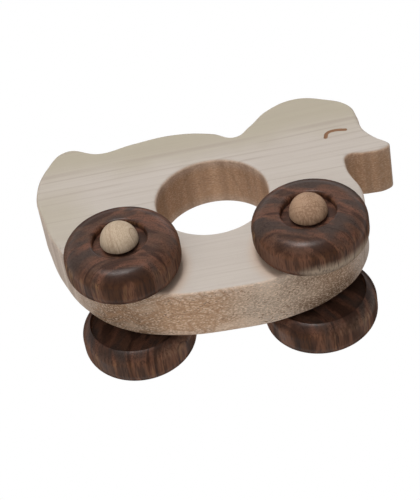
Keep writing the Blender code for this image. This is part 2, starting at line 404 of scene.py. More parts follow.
def smooth_curve(knots, steps, closed):
    """Points and directions of a smooth curve through knots.

    The unit vectors to and from a knot add up to its tangent. Its handles take the share
    span / (handle divisor * length of that sum) of the tangent, and cubic Bezier spans join the knots.
    """
    knots = np.asarray(knots, float)
    before = np.roll(knots, 1, axis=0)
    after = np.roll(knots, -1, axis=0)
    if not closed:
        before[0] = 2.0 * knots[0] - knots[1]
        after[-1] = 2.0 * knots[-1] - knots[-2]
    span_in = np.linalg.norm(knots - before, axis=1, keepdims=True)
    span_out = np.linalg.norm(after - knots, axis=1, keepdims=True)
    tangent = (knots - before) / span_in + (after - knots) / span_out
    divisor = HANDLE_DIVISOR * np.linalg.norm(tangent, axis=1, keepdims=True)
    handle_in = knots - tangent * span_in / divisor
    handle_out = knots + tangent * span_out / divisor
    spans = len(knots) if closed else len(knots) - 1
    start = knots[:spans, None]
    leaving = handle_out[:spans, None]
    arriving = np.roll(handle_in, -1, axis=0)[:spans, None]
    end = after[:spans, None]
    t = (np.arange(steps) / steps)[None, :, None]
    s = 1.0 - t
    points = s**3 * start + 3.0 * s**2 * t * leaving + 3.0 * s * t**2 * arriving + t**3 * end
    speed = s**2 * (leaving - start) + 2.0 * s * t * (arriving - leaving) + t**2 * (end - arriving)
    points = points.reshape(-1, 2)
    speed = speed.reshape(-1, 2)
    last_point = points[:1] if closed else knots[-1:]
    last_speed = speed[:1] if closed else knots[-1:] - handle_in[-1:]
    return np.concatenate([points, last_point]), unit(np.concatenate([speed, last_speed]))


def rounded_wall(loop, outward, low, high, radius):
    """Sawn wall along a closed loop, with both edges rounded.

    Across the wall, the section is a quarter circle, a straight line and a quarter circle:
    at an angle a from the wall's own direction it lies radius * (1 - cos a) inside the loop.
    """
    quarter = np.linspace(0.0, math.pi / 2.0, EDGE_STEPS + 1)
    straight = np.linspace(low + radius, high - radius, WALL_STEPS + 1)[1:-1]
    angle = np.concatenate([-quarter[::-1], np.zeros(len(straight)), quarter])
    rise = radius * np.sin(quarter)
    y = np.concatenate([low + radius - rise[::-1], straight, high - radius + rise])
    inset = radius * (1.0 - np.cos(angle))
    points = upright(loop[:, None] - outward[:, None] * inset[:, None], y)
    normals = upright(outward[:, None] * np.cos(angle)[:, None], np.sin(angle))
    way = np.concatenate([[0.0], np.cumsum(np.linalg.norm(np.diff(loop, axis=0), axis=1))])
    marks = {"wall": np.cos(angle), "end": np.abs(normals[..., 0]), "way": way[:, None]}
    return points, normals, marks


def eye_patch(line, directions, side, face_y, settings):
    """Burnt line of the closed eye: a capsule round the drawn line, on a grid of way round and ring.

    Every point is the line's point plus ring * half width in the capsule's outward direction.
    From the line to the groove's rim the depth is eye depth * (1 - (distance / half width) squared);
    the halo beyond is flat.
    """
    half = settings.eye_width / 2.0
    across = left_of(directions)
    cap = np.linspace(0.0, math.pi, EYE_CAP_STEPS + 1)[1:-1]
    end_cap = np.cos(cap)[:, None] * across[-1] + np.sin(cap)[:, None] * directions[-1]
    start_cap = -np.cos(cap)[:, None] * across[0] - np.sin(cap)[:, None] * directions[0]
    end = np.repeat(line[-1:], len(cap), axis=0)
    start = np.repeat(line[:1], len(cap), axis=0)
    spine = np.concatenate([line, end, line[::-1], start, line[:1]])
    away = np.concatenate([across, end_cap, -across[::-1], start_cap, across[:1]])
    groove = np.linspace(0.0, 1.0, EYE_RINGS + 1)
    halo = np.linspace(1.0, 1.0 + settings.eye_halo / half, HALO_RINGS + 1)
    level = np.zeros(len(halo))
    reach = half * np.concatenate([groove, halo])
    depth = settings.eye_depth * np.concatenate([1.0 - groove**2, level])
    slope = settings.eye_depth / half * np.concatenate([2.0 * groove, level])
    points = upright(spine[:, None] + away[:, None] * reach[:, None], face_y - side * depth)
    normals = unit(upright(-away[:, None] * slope[:, None], side))
    scorched = np.concatenate([np.ones(len(groove)), np.linspace(1.0, 0.0, len(halo))])
    return points, normals, scorched


def inside(points, loops):
    """Which points lie inside closed loops, where a loop in a loop is a hole.

    A ray from such a point along x crosses an odd number of the loops' sides.
    """
    start = np.concatenate([loop[:-1] for loop in loops])
    end = np.concatenate([loop[1:] for loop in loops])
    x, z = points[:, None, 0], points[:, None, 1]
    run, rise = (end - start).T
    share = (z - start[:, 1]) / np.where(rise == 0.0, 1.0, rise)
    spanned = (start[:, 1] > z) != (end[:, 1] > z)
    hits = spanned & (x < start[:, 0] + share * run)
    return hits.sum(axis=1) % 2 == 1


def flat_fill(loops):
    """Points and triangles of the flat between closed loops.

    A lattice of points inside, whose rows lie half a step apart in turn, keeps the triangles even.
    """
    rim = np.concatenate([loop[:-1] for loop in loops])
    low = rim.min(axis=0)
    width, height = rim.max(axis=0) - low
    rows, columns = np.mgrid[0.0:height:LATTICE_ROW, 0.0:width:LATTICE]
    columns = columns + (np.arange(len(columns)) % 2)[:, None] * LATTICE / 2.0
    lattice = low + np.stack([columns.ravel(), rows.ravel()], axis=1)
    lattice = lattice[inside(lattice, loops)]
    apart = np.linalg.norm(lattice[:, None] - rim[None], axis=2).min(axis=1)
    points = np.concatenate([rim, lattice[apart > LATTICE_MARGIN]])
    counts = [len(loop) - 1 for loop in loops]
    starts = np.cumsum([0, *counts[:-1]])
    rings = [
        first + np.stack([np.arange(count), (np.arange(count) + 1) % count], axis=1)
        for first, count in zip(starts, counts)
    ]
    edges = np.concatenate(rings).tolist()
    found = delaunay_2d_cdt((points / MM).tolist(), edges, [], 0, TRIANGLE_EPSILON)
    _, _, faces, sources, _, _ = found
    triangles = np.array(sources)[:, 0][np.array(faces)]
    return points, triangles[inside(points[triangles].mean(axis=1), loops)]


def board_mesh(name, settings):
    """The duck: rounded walls along its outline and finger hole, bores, eyes, and flat sides between."""
    skin = Skin("wall", "end", "burn", "way")
    board_low, board_high = box_of("duck_board")
    y_low, y_high = board_low[1], board_high[1]
    base = board_low[DRAWN]
    outline, directions = smooth_curve(OUTLINE, OUTLINE_STEPS, True)
    low, high = outline.min(axis=0), outline.max(axis=0)
    stretch = (board_high - board_low)[DRAWN] / (high - low)
    outline = base + (outline - low) * stretch
    around = circle(HOLE_SIDES)
    centre = np.array([settings.hole_x, base[1] + settings.hole_above_belly])
    hole = centre + settings.hole_diameter / 2.0 * around
    loops = []
    for loop, outward in ((outline, left_of(directions)), (hole, -around)):
        points, normals, marks = rounded_wall(loop, outward, y_low, y_high, settings.edge_radius)
        skin.grid(points, normals, **marks)
        loops.append(points[:, 0][:, DRAWN])
    around = circle(BORE_SIDES)
    for axle in AXLES:
        bore = axle_of(f"wheel_{axle}_right") + settings.bore_diameter / 2.0 * around
        points = upright(np.stack([bore, bore], axis=1), np.array([y_low, y_high]))
        skin.grid(points, upright(np.stack([-around, -around], axis=1), 0.0), wall=1.0)
        loops.append(bore)
    line, directions = smooth_curve(EYE_LINE, EYE_STEPS, False)
    line = base + (line - low) * stretch
    faces = ((-1.0, y_low), (1.0, y_high))
    for side, face_y in faces:
        points, normals, scorched = eye_patch(line, directions, side, face_y, settings)
        skin.grid(points, normals, burn=scorched)
    loops.append(points[:, -1][:, DRAWN])
    drawing, triangles = flat_fill(loops)
    for side, face_y in faces:
        skin.flat(upright(drawing, face_y), triangles, np.array([0.0, side, 0.0]))
    return skin.mesh(name)


def arc_piece(centre, radius, start, end, steps=ARC_STEPS):
    """Part of a section: an arc between two angles in degrees, with its normals away from its centre."""
    normals = heading(np.linspace(start, end, steps + 1))
    return np.asarray(centre) + np.asarray(radius) * normals, normals


def line_pieces(*corners):
    """Parts of a section: straight lines from corner to corner, with their normals to the left."""
    for ends in zip(corners, corners[1:]):
        points = np.array(ends)
        yield points, np.broadcast_to(left_of(unit(points[1] - points[0])), points.shape)


def turned_mesh(name, section, middle, side, sides, blank):
    """A section, (distance from the axle, distance from the board's middle), turned about the axle.

    At a turn t its point is the axle's middle plus the distance times (cos t, sin t) in x and z.
    Each point also keeps its place in the wood blank, along the grain and in two ways across it from
    the heart of the tree, how far the surface faces along the grain, its share of painted shade in the
    nook, and its share of pale sapwood with painted bounce light, which grows on the rim, round one
    way, to the board.
    """
    skin = Skin("along", "across", "outward", "end", "tone", "sap", "nook")
    around = circle(sides)
    heart = heading(blank.heart_angle)
    pale = blank.sap * smooth_share(around @ heading(blank.sap_angle), *SAP_AND_BOUNCE_SPREAD)
    for part, normals in section:
        reach, lift = part[:, :1], part[:, 1:]
        deep = (reach < NOOK_LIMIT) & (normals[:, 1:] < NOOK_FACING)
        flat = part[:, None, :1] * around
        points = upright(middle + flat, side * lift)
        skin.grid(
            points,
            upright(normals[:, None, :1] * around, side * normals[:, 1:]),
            along=points[..., 1] + blank.start,
            across=blank.heart_distance * MM - flat @ heart,
            outward=flat @ left_of(heart),
            end=np.abs(normals[:, 1:]),
            tone=blank.tone,
            # pale sapwood, partly painted light bounced onto the tread near the board
            sap=smooth_share(lift, *SAP_AND_BOUNCE_DEPTH) * smooth_share(reach, *SAP_AND_BOUNCE_RIM) * pale,
            # painted shade in the corner of the dished face
            nook=np.where(deep, smooth_share(reach, *NOOK_RADIUS), 0.0),
        )
    return skin.mesh(name)


def add_turned(node, section, side, sides, blank, material):
    """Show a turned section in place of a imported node."""
    name = f"turned_{node}"
    mesh = turned_mesh(name, section, axle_of(node), side, sides, blank)
    add_piece(name, mesh, material, node)


def wheel_section(inner_edge, outer, tread, settings):
    """Section of a wheel: recess, outer shoulder, tread, inner shoulder, dished inner face and bore."""
    bore = settings.bore_diameter / 2.0
    rounding = settings.shoulder_radius
    shoulder = tread - rounding
    dish = tread - settings.dish_margin
    rim_angle = math.acos((dish - shoulder) / rounding)
    inner = inner_edge - rounding + rounding * math.sin(rim_angle)
    recess = settings.recess_radius
    lip = settings.lip_radius
    recess_floor = outer - settings.recess_depth
    dish_floor = inner + settings.dish_depth
    dish_foot = dish - settings.dish_slope
    dish_floor_parts = [(reach, dish_floor) for reach in (dish_foot, *NOOK_RADIUS[::-1], bore)]
    return [
        *line_pieces((bore, recess_floor), (recess, recess_floor), (recess, outer - lip)),
        arc_piece((recess + lip, outer - lip), lip, 180.0, 90.0),
        *line_pieces((recess + lip, outer), (shoulder, outer)),
        arc_piece((shoulder, outer - rounding), rounding, 90.0, 0.0),
        *line_pieces((tread, outer - rounding), (tread, inner + rounding)),
        arc_piece((shoulder, inner + rounding), rounding, 0.0, -math.degrees(rim_angle)),
        *line_pieces((dish, inner_edge), *dish_floor_parts, (bore, recess_floor)),
    ]


def peg_section(shank_end, top, radius, recess_floor, settings):
    """Section of a peg: an elliptic dome from its top down, a rounded rim, and a shank to its end."""
    shank = settings.shank_diameter / 2.0
    underside = recess_floor + settings.head_lift
    rim = settings.rim_radius
    dome = np.array([radius, top - underside - rim])
    points, directions = arc_piece((0.0, underside + rim), dome, 90.0, 0.0, 2 * ARC_STEPS)
    points[0, 0] = 0.0
    return [
        (points, unit(directions / dome)),
        arc_piece((radius - rim, underside + rim), rim, 0.0, -90.0),
        *line_pieces(
            (radius - rim, underside), (shank, underside), (shank, shank_end), (0.0, shank_end)
        ),
    ]


def opaque(colour_setting):
    """A colour setting with a full alpha."""
    return (*colour_setting, 1.0)


class NodeSheet:
    """A node tree that is written call by call; most calls add a node and give back its output."""

    def __init__(self, tree):
        self.tree = tree
        tree.nodes.clear()

    def add(self, kind, inputs=None, **settings):
        """Add a node, set its switches, and set or link its inputs."""
        node = self.tree.nodes.new(kind)
        for name, value in settings.items():
            setattr(node, name, value)
        for name, value in (inputs or {}).items():
            if isinstance(value, bpy.types.NodeSocket):
                self.tree.links.new(value, node.inputs[name])
            else:
                node.inputs[name].default_value = value
        return node

    def math(self, operation, first, second=0.0):
        """One sum on two values."""
        return self.add("ShaderNodeMath", {0: first, 1: second}, operation=operation).outputs[0]

    def plus(self, value, other, share):
        """A value plus a share of another."""
        inputs = {0: other, 1: share, 2: value}
        return self.add("ShaderNodeMath", inputs, operation="MULTIPLY_ADD").outputs[0]

    def product(self, first, *others):
        """Product of all the values."""
        for other in others:
            first = self.math("MULTIPLY", first, other)
        return first

    def vector(self, operation, first, second, output="Vector"):
        """One sum on two vectors."""
        inputs = {0: first, 1: second}
        return self.add("ShaderNodeVectorMath", inputs, operation=operation).outputs[output]

    def measure(self, place, start=(0.0, 0.0, 0.0)):
        """Distance of a place from another."""
        return self.vector("DISTANCE", place, start, "Value")

    def joined(self, x, y=0.0, z=0.0):
        """A vector from three values."""
        return self.add("ShaderNodeCombineXYZ", {0: x, 1: y, 2: z}).outputs[0]

    def parts(self, vector):
        """The three values of a vector."""
        return tuple(self.add("ShaderNodeSeparateXYZ", {0: vector}).outputs)

    def step(self, value, start, end, low=0.0, high=1.0):
        """A smooth step from low to high between two values."""
        inputs = {0: value, 1: start, 2: end, 3: low, 4: high}
        return self.add("ShaderNodeMapRange", inputs, interpolation_type="SMOOTHSTEP").outputs[0]

    def noise(self, vector, rate, detail, output="Fac"):
        """Soft noise from 0 to 1 that changes at one rate, or at a rate of its own along each axis."""
        if isinstance(rate, tuple):
            vector, rate = self.vector("MULTIPLY", vector, rate), 1.0
        inputs = {"Vector": vector, "Scale": rate, "Detail": detail}
        return self.add("ShaderNodeTexNoise", inputs).outputs[output]

    def blend(self, share, first, second):
        """A colour between two colours."""
        return self.add("ShaderNodeMix", {0: share, 6: first, 7: second}, data_type="RGBA").outputs[2]

    def lay(self, base, layers, values, settings):
        """Lay colours over a base in turn, each by the product of its parts of the named values.

        A part is a share of the value, or a step of it if it is (start, end, low, high).
        """
        for colour_name, parts in layers:
            shares = []
            for name, part in parts.items():
                if isinstance(part, tuple):
                    shares.append(self.step(values[name], *part))
                else:
                    shares.append(values[name] if part == ALL else self.product(values[name], part))
            base = self.blend(self.product(*shares), base, opaque(getattr(settings, colour_name)))
        return base

    def mark(self, name):
        """A value that the mesh keeps at its points."""
        return self.add("ShaderNodeAttribute", attribute_name=name).outputs["Fac"]


def new_material(name):
    """An empty material and its sheet."""
    material = bpy.data.materials.get(name) or bpy.data.materials.new(name)
    material.use_nodes = True
    return material, NodeSheet(material.node_tree)


# In the materials a noise is (rate, detail), with rates per metre, and a step is (start, end, low, high)
ALL = 1.0  # part of a value that is taken as it is
AS_GIVEN = 1.0  # rate of a noise whose places are already scaled
NOISE_MIDDLE = 0.5
# Wood figure
ACROSS_GRAIN = (0.0, 1.0, 1.0)
RING_DRIFT = ((9.0, 34.0, 34.0), 2.0)
RING_UNEVEN = (0.45, 1.0)
RING_UNEVENNESS = 2.4
RING_RISE = (0.55, 0.93)
RING_FALL = (0.93, 1.0, 1.0, 0.0)
RING_STRENGTH = (0.3, 1.0, 0.08, 1.0)
RING_BREAKS = ((26.0, 0.8, 60.0), 1.0)
RING_BREAK_STEP = (0.36, 0.6, 0.12, 1.0)
BANDS = ((14.0, 0.36, 34.0), 2.0)
ZONE_RATE = (25.2, 0.252, 68.0)
ZONE_START = (5.3, 2.1, 7.7)
ZONE_DETAIL = 3.0
BROAD_STEP = (0.3, 0.7)
TUFTS = ((45.0, 190.0, 190.0), 1.0)
TUFT_SHARE = 0.45
STREAK_DETAILS = {"Fibre": 4.0, "Fleck": 2.0}
FIBRE_STEP = (0.25, 0.75)
FIBRE_HEIGHT = 0.5
FLECK_STEP = (0.5, 0.66)
FLECK_TUFTS = (0.35, 0.6, 0.45, 1.0)


class Figure(NamedTuple):
    """Sizes of a wood's inner pattern in millimetres."""

    ring_spacing: float
    ring_wander: float
    fibre_width: float
    fibre_length: float
    fleck_width: float
    fleck_length: float


FIGURE_INPUTS = [field.replace("_", " ").title() for field in Figure._fields]


def wood_figure():
    """Node group of the wood's inner pattern, with the grain and the heart of the tree along the X axis.

    Rings rise slowly to their late wood and end sharply. Bands and zones are broad changes that follow
    the rings. Fibres are long thin streaks, and flecks are short dark pores, both along the grain.
    """
    name = "wood_figure"
    if name in bpy.data.node_groups:
        return bpy.data.node_groups[name]
    group = bpy.data.node_groups.new(name, "ShaderNodeTree")
    sheet = NodeSheet(group)
    group.interface.new_socket("Vector", in_out="INPUT", socket_type="NodeSocketVector")
    for label in FIGURE_INPUTS:
        group.interface.new_socket(label, in_out="INPUT", socket_type="NodeSocketFloat")
    given = sheet.add("NodeGroupInput").outputs
    vector = given["Vector"]
    drift = sheet.noise(vector, *RING_DRIFT, output="Color")
    drift = sheet.vector("SUBTRACT", drift, (NOISE_MIDDLE,) * 3)
    wander = sheet.joined(*[given["Ring Wander"]] * 3)
    bent = sheet.vector("ADD", vector, sheet.vector("MULTIPLY", drift, wander))
    distance = sheet.measure(sheet.vector("MULTIPLY", bent, ACROSS_GRAIN))
    phase = sheet.math("DIVIDE", distance, given["Ring Spacing"])
    phase = sheet.plus(phase, sheet.noise(sheet.joined(phase), *RING_UNEVEN), RING_UNEVENNESS)
    saw = sheet.math("FRACT", phase)
    year = sheet.add("ShaderNodeTexWhiteNoise", {"W": sheet.math("FLOOR", phase)}, noise_dimensions="1D")
    along, _, beside = sheet.parts(vector)
    on_rings = sheet.joined(along, phase, beside)
    rings = sheet.product(
        sheet.step(saw, *RING_RISE),
        sheet.step(saw, *RING_FALL),
        sheet.step(year.outputs["Value"], *RING_STRENGTH),
        sheet.step(sheet.noise(on_rings, *RING_BREAKS), *RING_BREAK_STEP),
    )
    bands = sheet.step(sheet.noise(on_rings, *BANDS), *BROAD_STEP)
    zones = sheet.vector("ADD", sheet.vector("MULTIPLY", on_rings, ZONE_RATE), ZONE_START)
    zones = sheet.step(sheet.noise(zones, AS_GIVEN, ZONE_DETAIL), *BROAD_STEP)
    tufts = sheet.noise(vector, *TUFTS)
    streaks = []
    for kind, detail in STREAK_DETAILS.items():
        width = given[f"{kind} Width"]
        scaled = sheet.vector("DIVIDE", vector, sheet.joined(given[f"{kind} Length"], width, width))
        streaks.append(sheet.noise(scaled, AS_GIVEN, detail))
    fibres = sheet.plus(streaks[0], sheet.math("SUBTRACT", tufts, NOISE_MIDDLE), TUFT_SHARE)
    fibres = sheet.step(fibres, *FIBRE_STEP)
    flecks = sheet.product(sheet.step(streaks[1], *FLECK_STEP), sheet.step(tufts, *FLECK_TUFTS))
    height = sheet.math("SUBTRACT", sheet.product(fibres, FIBRE_HEIGHT), flecks)
    patterns = {"Rings": rings, "Bands": bands, "Zones": zones, "Fibres": fibres, "Flecks": flecks}
    outputs = {**patterns, "Height": height}
    for label in outputs:
        group.interface.new_socket(label, in_out="OUTPUT", socket_type="NodeSocketFloat")
    sheet.add("NodeGroupOutput", outputs)
    return group


def figure_in(sheet, vector, sizes):
    """Outputs of the wood figure placed in a material, by their names."""
    inputs = {label: size * MM for label, size in zip(FIGURE_INPUTS, sizes)}
    inputs["Vector"] = vector
    return dict(sheet.add("ShaderNodeGroup", inputs, node_tree=wood_figure()).outputs.items())


class Finish(NamedTuple):
    """How oiled wood shines."""

    roughness: tuple  # step over the fibres
    relief: float  # height of the fibres, in metres
    shine: float


# At a low angle the roughness is at least this step of the view's slant
GRAZING = (0.3, 0.75, 0.0, 0.9)


def finish_wood(sheet, base, values, finish):
    """Shader of oiled wood, with the fibres as a fine relief; its shine dies out at a low angle."""
    bump = sheet.add("ShaderNodeBump", {"Height": values["Height"], "Distance": finish.relief})
    slant = sheet.add("ShaderNodeLayerWeight").outputs["Facing"]
    roughness = sheet.step(values["Fibres"], *finish.roughness)
    roughness = sheet.math("MAXIMUM", roughness, sheet.step(slant, *GRAZING))
    coat = {"Base Color": base, "Roughness": roughness, "Normal": bump.outputs[0]}
    shader = sheet.add("ShaderNodeBsdfPrincipled", {**coat, "Specular IOR Level": finish.shine})
    sheet.add("ShaderNodeOutputMaterial", {"Surface": shader.outputs[0]})


# Maple of the board
HEART_SHIFT = (0.0, 0.05, 0.17)
GRAIN_TURN = (0.0, math.radians(4.0), 0.0)
MAPLE_FIGURE = Figure(3.3, 5.0, 0.5, 22.0, 0.42, 0.95)
MAPLE_FINISH = Finish((0.0, 1.0, 0.5, 0.62), 0.03 * MM, 0.06)
IN_DRAWING = (1.0, 0.0, 1.0)
# Places whose distance changes the colour, and the wheels', whose distance is taken in the drawing
MAPLE_PLACES = {
    "Tail": (-0.064, 0.0, 0.055),
    "Belly": (0.026, 0.0, 0.006),
    "Hole": (-0.0012, 0.0, 0.054),
    "Breast": (0.052, 0.0, 0.060),
}
WHEEL_PLACES = {"Front wheels": (0.031, 0.0, 0.020), "Rear wheels": (-0.033, 0.0, 0.020)}
# A cloud pushes the edges of some patches in and out
CLOUD = (70.0, 2.0)
CROWN_CLOUD = 12.0 * MM
CROWN_STEP = (HEART_SHIFT[2] + 76.0 * MM, HEART_SHIFT[2] + 96.0 * MM)
TAIL_CLOUD = 14.0 * MM
TAIL_STEP = (17.0 * MM, 33.0 * MM, 0.8, 0.0)
WARM_CLOUD = 16.0 * MM
WARM_STEP = (24.0 * MM, 42.0 * MM)
LOW_STEP = (14.0 * MM, 36.0 * MM, 1.0, 0.4)
LOWEST_STEP = (0.4, 1.0)
SPECKS = ((1200.0, 2200.0, 1800.0), 1.0)
DRIFT = ((60.0, 110.0, 110.0), 2.0)
CROSS_LINES = (210.0, 2.0)
LOOPS = ((60.0, 125.0, 85.0), 1.0)
LOOP_COUNT = 11.0
LOOP_FOLD = 0.5
# Painted shade on the belly fades out between these distances from an axle
NEAR_WHEEL_SHADE = (10.0 * MM, 18.0 * MM, 1.0, 0.0)
MAPLE_FACE = (
    ("crown", {"Crown": ALL}),
    ("lines", {"Rings": 0.65}),
    ("lines", {"Fibres": 0.2}),
    # Painted warm shade on the flat sides beside the wheels
    ("edge", {"Wheels": (18.0 * MM, 24.0 * MM, 0.5, 0.0)}),
)
MAPLE_EDGE = (
    ("edge", {"Warm": ALL}),
    # Darker end grain; in the hole and on the belly by the wheels it also stands in as painted shade
    ("edge_end", {"End": (0.1, 0.8)}),
    ("edge_pale", {"End": (0.55, 0.95), "Hole": (25.0 * MM, 30.0 * MM)}),
    ("edge_pale", {"Aside": (5.0 * MM, 9.5 * MM, 0.0, 0.4)}),
    # Painted shade on the belly beside and between the wheels, darkest towards its sides
    ("edge_dark", {"Front wheels": NEAR_WHEEL_SHADE, "Aside": (1.0 * MM, 8.0 * MM, 0.08, 0.9)}),
    ("edge_dark", {"Rear wheels": NEAR_WHEEL_SHADE, "Aside": (1.0 * MM, 8.0 * MM, 0.5, 1.0)}),
    # Painted shade under the beak and at the top of the breast, in the end grain's brown
    ("edge_end", {"Breast": (10.0 * MM, 22.0 * MM, 0.8, 0.0)}),
    ("edge_dark", {"Rings": 0.6, "Low": ALL}),
    ("edge_dark", {"Flecks": ALL, "Low": ALL}),
    ("edge_light", {"Specks": (0.45, 0.7, 0.0, 0.75), "Low": ALL}),
    ("edge_end", {"Loops": (0.28, 0.0, 0.0, 0.75), "Warm": ALL, "Lowest": ALL}),
    ("edge_light", {"Drift": (0.5, 0.66, 0.0, 0.33), "Lowest": ALL}),
    # Bands across the hole's wall and the beak's underside: sanding marks, partly painted shade of their
    # uneven curve
    ("edge_dark", {"Cross lines": (0.35, 0.65, 0.0, 0.36), "Lowest": (0.0, 1.0, 1.0, 0.1)}),
)
MAPLE_WALL = (0.45, 1.0)


def maple_values(sheet):
    """Values over the board that its colours are laid by."""
    place = sheet.add("ShaderNodeTexCoord").outputs["Object"]
    turned = {"Vector": place, "Location": HEART_SHIFT, "Rotation": GRAIN_TURN}
    from_heart = sheet.add("ShaderNodeMapping", turned).outputs[0]
    cloud = sheet.noise(place, *CLOUD)
    flat = sheet.vector("MULTIPLY", place, IN_DRAWING)
    away = {name: sheet.measure(place, where) for name, where in MAPLE_PLACES.items()}
    wheels = {name: sheet.measure(flat, where) for name, where in WHEEL_PLACES.items()}
    crown = sheet.step(sheet.plus(sheet.parts(from_heart)[2], cloud, CROWN_CLOUD), *CROWN_STEP)
    tail = sheet.step(sheet.plus(away["Tail"], cloud, TAIL_CLOUD), *TAIL_STEP)
    _, y, z = sheet.parts(place)
    low = sheet.step(z, *LOW_STEP)
    loops = sheet.product(sheet.noise(place, *LOOPS), LOOP_COUNT)
    return {
        **figure_in(sheet, from_heart, MAPLE_FIGURE),
        **away,
        **wheels,
        "Wheels": sheet.math("MINIMUM", *wheels.values()),
        "Crown": sheet.math("MAXIMUM", crown, tail),
        "Warm": sheet.step(sheet.plus(away["Belly"], cloud, WARM_CLOUD), *WARM_STEP),
        "Aside": sheet.math("ABSOLUTE", y),
        "Low": low,
        "Lowest": sheet.step(low, *LOWEST_STEP),
        "End": sheet.mark("end"),
        "Specks": sheet.noise(place, *SPECKS),
        "Drift": sheet.noise(place, *DRIFT),
        "Cross lines": sheet.noise(sheet.joined(sheet.mark("way")), *CROSS_LINES),
        "Loops": sheet.math("PINGPONG", loops, LOOP_FOLD),
    }


def maple_material(settings):
    """Pale sanded board: lines along the duck, a creamier back, warm flecked edges, painted shade by the
    wheels, in the hole and under the beak, and a burnt eye.
    """
    material, sheet = new_material("sanded_maple")
    values = maple_values(sheet)
    face = sheet.lay(opaque(settings.face), MAPLE_FACE, values, settings)
    edge = sheet.lay(opaque(settings.edge_grey), MAPLE_EDGE, values, settings)
    base = sheet.blend(sheet.step(sheet.mark("wall"), *MAPLE_WALL), face, edge)
    base = sheet.blend(sheet.mark("burn"), base, opaque(settings.burn))
    finish_wood(sheet, base, values, MAPLE_FINISH)
    return material


def place_in_blank(sheet):
    """Place in the wood blank as a vector, with the grain first."""
    return sheet.joined(sheet.mark("along"), sheet.mark("across"), sheet.mark("outward"))


# Walnut of the wheels
WALNUT_FIGURE = Figure(1.4, 6.0, 0.9, 11.0, 0.4, 3.6)
WALNUT_FINISH = Finish((0.0, 1.0, 0.30, 0.40), 0.012 * MM, 0.11)
END_GRAIN = (0.15, 0.75)
RAGGED_SHARE = 0.14
WALNUT_LAYERS = (
    ("red", {"Bands": ALL}),
    ("grey", {"Zones": (0.5, 0.95)}),
    ("ochre", {"Bands": (0.5, 0.9), "Fibres": (0.2, 0.8), "Side": (0.2, 1.0, 0.0, 0.65)}),
    ("dark", {"Zones": (0.5, 0.15), "Side": (0.0, 1.0, 0.68, 0.92)}),
    ("warm", {"Side": 0.35}),
    ("dark", {"Fibres": (0.5, 0.0), "Side": (0.0, 1.0, 0.25, 0.48)}),
    # pale sapwood, partly painted light bounced onto the tread near the board
    ("sap", {"Ragged sap": (0.2, 1.05)}),
    ("dark", {"Rings": 0.7}),
    ("dark", {"Flecks": 0.6}),
    ("dark", {"End": 0.35}),
    # painted shade in the corner of the dished inner face
    ("dark", {"Nook shade": 0.42}),
)


def walnut_material(settings):
    """Dark turned walnut: brown, red, grey and ochre along the rings, darker where the grain ends, with
    painted shade in the dish's corner and pale sapwood that is partly painted bounce light.
    """
    material, sheet = new_material("turned_walnut")
    values = figure_in(sheet, place_in_blank(sheet), WALNUT_FIGURE)
    values["End"] = sheet.step(sheet.mark("end"), *END_GRAIN)
    values["Side"] = sheet.math("SUBTRACT", 1.0, values["End"])
    values["Ragged sap"] = sheet.plus(sheet.mark("sap"), values["Fibres"], RAGGED_SHARE)
    # share of painted shade in the dished face's corner
    values["Nook shade"] = sheet.mark("nook")
    base = sheet.lay(opaque(settings.brown), WALNUT_LAYERS, values, settings)
    finish_wood(sheet, base, values, WALNUT_FINISH)
    return material


# Beech of the pegs
BEECH_FIGURE = Figure(1.4, 4.0, 0.45, 4.0, 0.3, 1.6)
BEECH_FINISH = Finish((0.0, 1.0, 0.5, 0.62), 0.03 * MM, 0.08)
BEECH_LAYERS = (
    ("pale", {"Tone": ALL}),
    ("lines", {"Rings": 0.65}),
    ("lines", {"Bands": 0.22}),
    ("lines", {"Fibres": (0.3, 0.8), "Tone": (0.0, 1.0, 0.75, 0.22)}),
    ("lines", {"Flecks": 0.3}),
)


def beech_material(settings):
    """Pale turned beech: end grain arcs on the domes and short flecks down their sides."""
    material, sheet = new_material("turned_beech")
    values = figure_in(sheet, place_in_blank(sheet), BEECH_FIGURE)
    values["Tone"] = sheet.mark("tone")
    base = sheet.lay(opaque(settings.tan), BEECH_LAYERS, values, settings)
    finish_wood(sheet, base, values, BEECH_FINISH)
    return material


class DUCK_OT_board(bpy.types.Operator):
    """Make the sawn maple board of the duck"""

    bl_idname = "duck.board"
    bl_label = "Sawn duck"

    def execute(self, context):
        settings = context.scene.duck_board
        name = "sawn_duck"
        add_piece(name, board_mesh(name, settings), maple_material(settings), "duck_board")
        return {"FINISHED"}


class DUCK_OT_wheels(bpy.types.Operator):
    """Turn the four walnut wheels"""

    bl_idname = "duck.wheels"
    bl_label = "Turned wheels"

    def execute(self, context):
        settings = context.scene.duck_wheels
        walnut = walnut_material(settings)
        for corner, side in CORNERS.items():
            node = f"wheel_{corner}"
            section = wheel_section(*reach_of(node), settings)
            add_turned(node, section, side, WHEEL_SIDES, WHEEL_BLANKS[corner], walnut)
        return {"FINISHED"}


class DUCK_OT_pegs(bpy.types.Operator):
    """Turn the four beech axle pegs"""

    bl_idname = "duck.pegs"
    bl_label = "Axle pegs"

    def execute(self, context):
        settings = context.scene.duck_pegs
        beech = beech_material(settings)
        for corner, side in CORNERS.items():
            node = f"axle_peg_{corner}"
            wheel_outer = reach_of(f"wheel_{corner}")[1]
            recess_floor = wheel_outer - context.scene.duck_wheels.recess_depth
            section = peg_section(*reach_of(node), recess_floor, settings)
            add_turned(node, section, side, PEG_SIDES, PEG_BLANKS[corner], beech)
        return {"FINISHED"}


class Lamp(NamedTuple):
    """Where a square lamp stands, its size, and whether it gives soft light and shine on gloss."""

    place: tuple
    size: float
    soft: bool = True
    shine: bool = True


